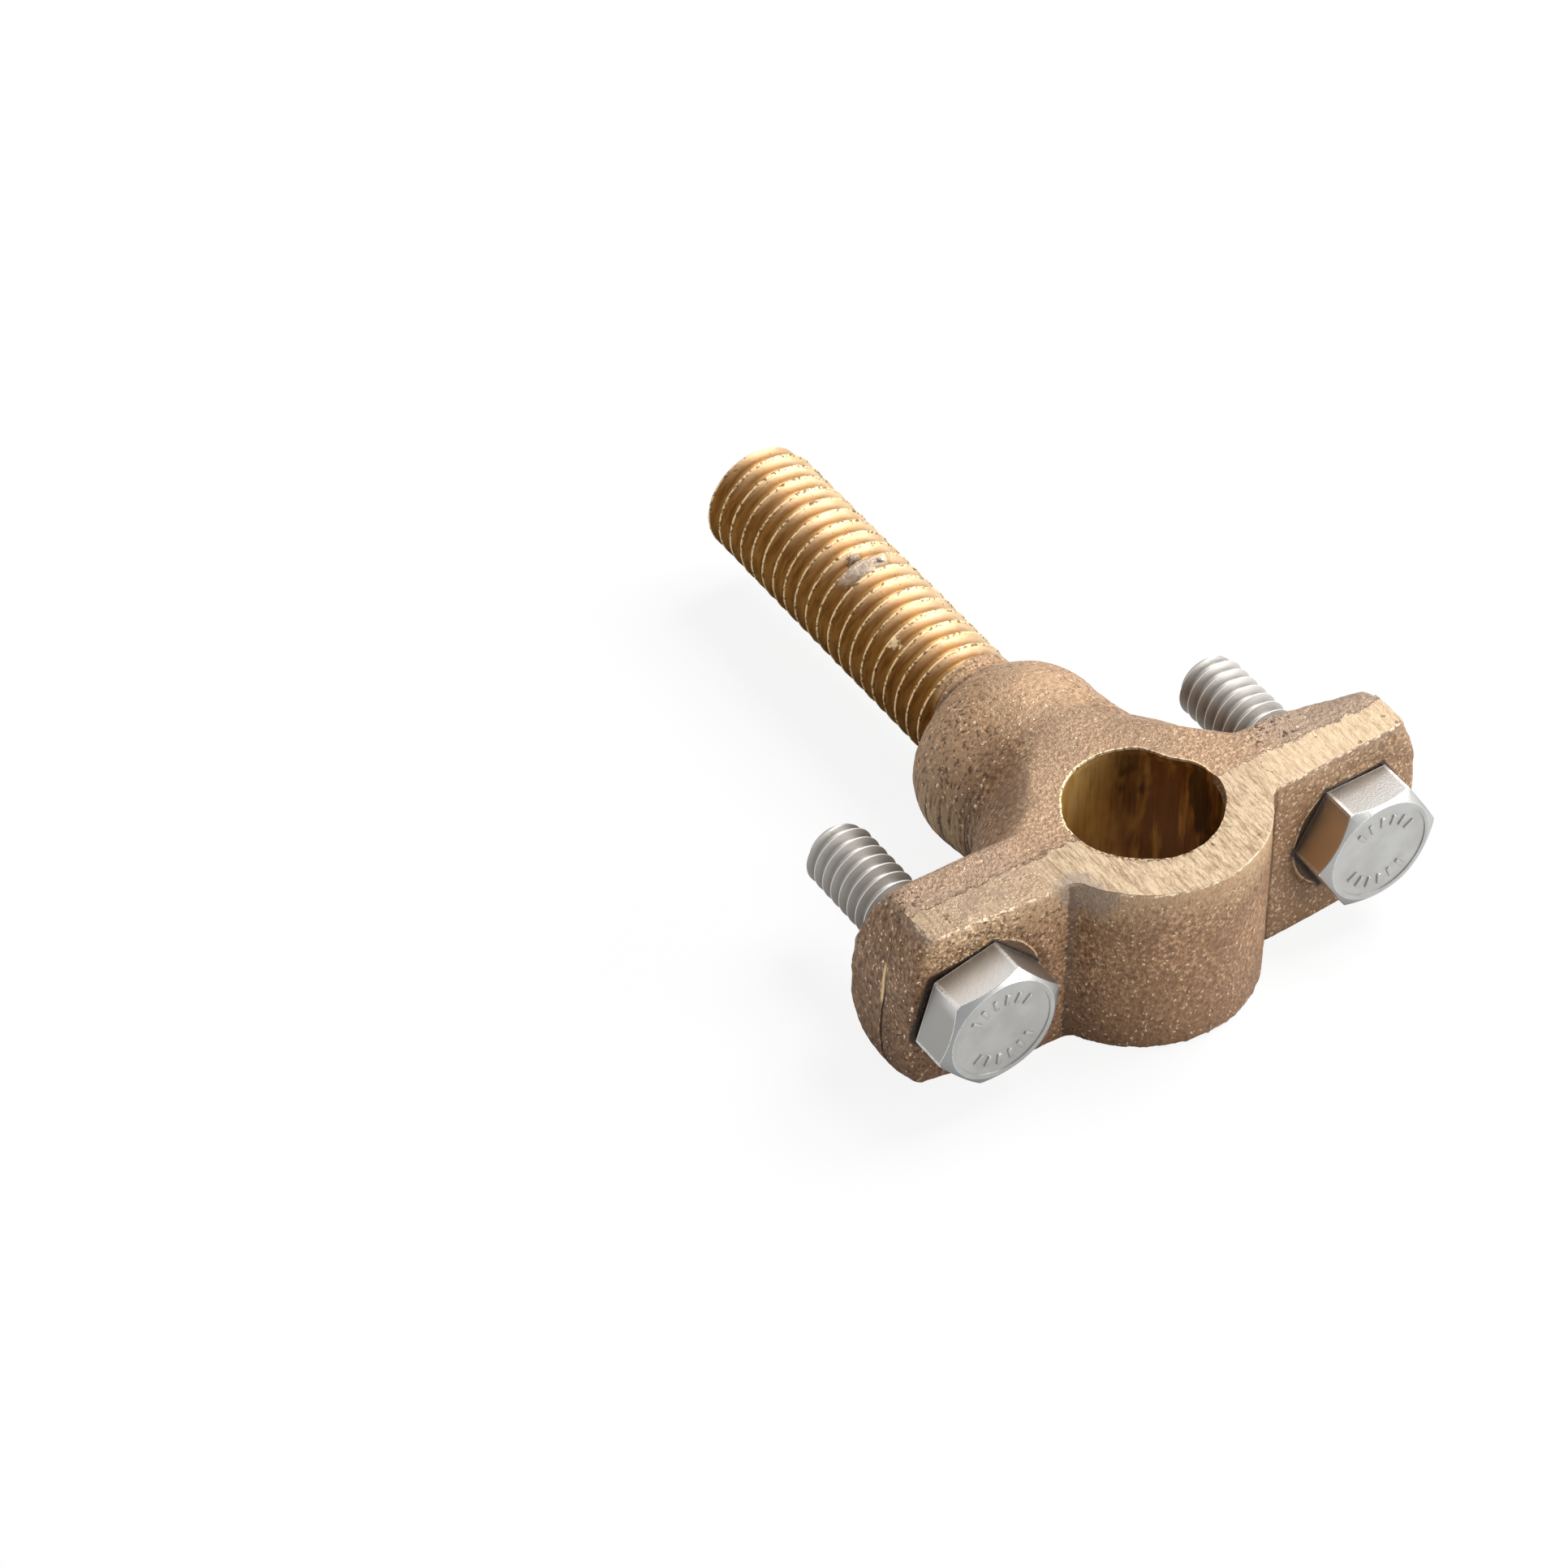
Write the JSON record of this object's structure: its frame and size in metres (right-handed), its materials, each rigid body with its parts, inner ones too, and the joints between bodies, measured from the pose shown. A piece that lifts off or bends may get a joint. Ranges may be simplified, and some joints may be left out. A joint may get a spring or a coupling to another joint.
{
  "type": "bonding connector",
  "caption": "Cast bronze bonding connector: a split clamp that grips a round conductor or rod, closed by hex bolts, with a long threaded stud cast on its back.",
  "frame": {"origin": "on the axis of the conductor bore at half height, where the stud's axis crosses it", "axes": "+Z along the conductor bore, +Y from the clamp cap to the tip of the stud, +X along the ears"},
  "size_m": [0.0524, 0.0726, 0.0186],
  "materials": {
    "cast_bronze": "as cast, sandy, with ground and machined places",
    "stainless": "satin"
  },
  "bodies": {
    "body": {"stud_body": "cast_bronze"},
    "cap": {"clamp_cap": "cast_bronze"},
    "bolt_left": {"left_bolt": "stainless"},
    "bolt_right": {"right_bolt": "stainless"}
  },
  "joints": [
    {"name": "cap_slide", "type": "slide", "parent": "body", "child": "cap", "axis": [0, -1, 0], "range_m": [0, 0.00889]},
    {"name": "left_bolt_turn", "type": "hinge", "parent": "cap", "child": "bolt_left", "pos_m": [-0.0198, 0, 0], "axis": [0, -1, 0], "range_deg": [0, 2520]},
    {"name": "right_bolt_turn", "type": "hinge", "parent": "cap", "child": "bolt_right", "pos_m": [0.0198, 0, 0], "axis": [0, -1, 0], "range_deg": [0, 2520]}
  ],
  "couplings": [
    {"joint": "left_bolt_turn", "follows": "cap_slide", "rad_per_m": 4947.4},
    {"joint": "right_bolt_turn", "follows": "cap_slide", "rad_per_m": 4947.4}
  ]
}
